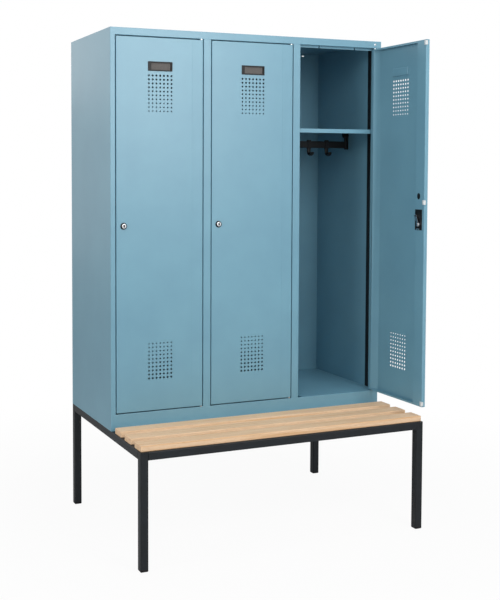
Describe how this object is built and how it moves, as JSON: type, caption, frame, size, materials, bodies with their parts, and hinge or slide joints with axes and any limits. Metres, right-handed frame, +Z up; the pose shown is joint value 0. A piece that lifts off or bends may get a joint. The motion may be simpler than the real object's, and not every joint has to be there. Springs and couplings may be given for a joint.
{
  "type": "locker with bench",
  "caption": "Steel cloakroom locker with hinged doors, hat shelves and sliding hooks, standing on a tube frame that carries a slatted wooden bench in front.",
  "frame": {"origin": "on the ground, in the middle of the box that holds the whole object with its right-hand door open", "axes": "+Z up, +X along the front to the right seen from the bench, +Y from the bench into the depth of the lockers"},
  "size_m": [1.19, 0.8474, 1.95],
  "materials": {
    "locker_blue": "fine satin powder coat, light blue",
    "frame_grey": "fine matt powder coat, anthracite",
    "beech": "clear satin lacquer on straight-grained beech",
    "black_plastic": "moulded, fine texture, black",
    "chrome": "polished",
    "zinc_steel": "zinc plated",
    "white_plastic": "soft moulded bumper, white",
    "label_card": "plain card behind a clear window, grey"
  },
  "bodies": {
    "root": {"leg_front_left": "frame_grey", "leg_front_right": "frame_grey", "leg_rear_left": "frame_grey", "leg_rear_right": "frame_grey", "rail_front": "frame_grey", "rail_middle": "frame_grey", "rail_rear": "frame_grey", "rail_left": "frame_grey", "rail_right": "frame_grey", "foot_cap_front_left": "black_plastic", "foot_cap_front_right": "black_plastic", "foot_cap_rear_left": "black_plastic", "foot_cap_rear_right": "black_plastic", "slat_1": "beech", "slat_2": "beech", "slat_3": "beech", "side_panel_left": "locker_blue", "side_panel_right": "locker_blue", "roof_panel": "locker_blue", "floor_panel": "locker_blue", "back_panel": "locker_blue", "partition_1": "locker_blue", "partition_2": "locker_blue", "hat_shelf_1": "locker_blue", "hat_shelf_2": "locker_blue", "hat_shelf_3": "locker_blue", "hook_rail_1": "black_plastic", "hook_rail_2": "black_plastic", "hook_rail_3": "black_plastic", "pivot_pin_top_1": "zinc_steel", "pivot_pin_top_2": "zinc_steel", "pivot_pin_top_3": "zinc_steel", "pivot_pin_bottom_1": "zinc_steel", "pivot_pin_bottom_2": "zinc_steel", "pivot_pin_bottom_3": "zinc_steel"},
    "door_1": {"door_leaf_1": "locker_blue", "label_holder_1": "black_plastic", "lock_case_1": "black_plastic"},
    "door_2": {"door_leaf_2": "locker_blue", "label_holder_2": "black_plastic", "lock_case_2": "black_plastic"},
    "door_3": {"door_leaf_3": "locker_blue", "label_holder_3": "black_plastic", "lock_case_3": "black_plastic"},
    "lock_1": {"lock_cylinder_1": "chrome", "lock_cam_1": "zinc_steel"},
    "lock_2": {"lock_cylinder_2": "chrome", "lock_cam_2": "zinc_steel"},
    "lock_3": {"lock_cylinder_3": "chrome", "lock_cam_3": "zinc_steel"},
    "hook_1_left": {"hook_1_left": "black_plastic"},
    "hook_1_centre": {"hook_1_centre": "black_plastic"},
    "hook_1_right": {"hook_1_right": "black_plastic"},
    "hook_2_left": {"hook_2_left": "black_plastic"},
    "hook_2_centre": {"hook_2_centre": "black_plastic"},
    "hook_2_right": {"hook_2_right": "black_plastic"},
    "hook_3_left": {"hook_3_left": "black_plastic"},
    "hook_3_centre": {"hook_3_centre": "black_plastic"},
    "hook_3_right": {"hook_3_right": "black_plastic"}
  },
  "joints": [
    {"name": "door_1_hinge", "type": "hinge", "parent": "root", "child": "door_1", "pos_m": [-0.22067, -0.07126, 1.206], "axis": [0, 0, 1], "range_deg": [0, 110]},
    {"name": "door_2_hinge", "type": "hinge", "parent": "root", "child": "door_2", "pos_m": [0.17367, -0.07126, 1.206], "axis": [0, 0, 1], "range_deg": [0, 110]},
    {"name": "door_3_hinge", "type": "hinge", "parent": "root", "child": "door_3", "pos_m": [0.568, -0.07126, 1.206], "axis": [0, 0, 1], "range_deg": [-91, 19]},
    {"name": "lock_1_turn", "type": "hinge", "parent": "door_1", "child": "lock_1", "pos_m": [-0.543, -0.07626, 1.206], "axis": [0, -1, 0], "range_deg": [0, 90]},
    {"name": "lock_2_turn", "type": "hinge", "parent": "door_2", "child": "lock_2", "pos_m": [-0.14867, -0.07626, 1.206], "axis": [0, -1, 0], "range_deg": [0, 90]},
    {"name": "lock_3_turn", "type": "hinge", "parent": "door_3", "child": "lock_3", "pos_m": [0.57862, -0.39346, 1.206], "axis": [0.9998, 0.0175, 0], "range_deg": [0, 90]},
    {"name": "hook_1_left_slide", "type": "slide", "parent": "root", "child": "hook_1_left", "axis": [1, 0, 0], "range_m": [-0.06, 0.03]},
    {"name": "hook_1_centre_slide", "type": "slide", "parent": "root", "child": "hook_1_centre", "axis": [1, 0, 0], "range_m": [-0.03, 0.03]},
    {"name": "hook_1_right_slide", "type": "slide", "parent": "root", "child": "hook_1_right", "axis": [1, 0, 0], "range_m": [-0.03, 0.06]},
    {"name": "hook_2_left_slide", "type": "slide", "parent": "root", "child": "hook_2_left", "axis": [1, 0, 0], "range_m": [-0.06, 0.03]},
    {"name": "hook_2_centre_slide", "type": "slide", "parent": "root", "child": "hook_2_centre", "axis": [1, 0, 0], "range_m": [-0.03, 0.03]},
    {"name": "hook_2_right_slide", "type": "slide", "parent": "root", "child": "hook_2_right", "axis": [1, 0, 0], "range_m": [-0.03, 0.06]},
    {"name": "hook_3_left_slide", "type": "slide", "parent": "root", "child": "hook_3_left", "axis": [1, 0, 0], "range_m": [-0.06, 0.03]},
    {"name": "hook_3_centre_slide", "type": "slide", "parent": "root", "child": "hook_3_centre", "axis": [1, 0, 0], "range_m": [-0.03, 0.03]},
    {"name": "hook_3_right_slide", "type": "slide", "parent": "root", "child": "hook_3_right", "axis": [1, 0, 0], "range_m": [-0.03, 0.06]}
  ]
}
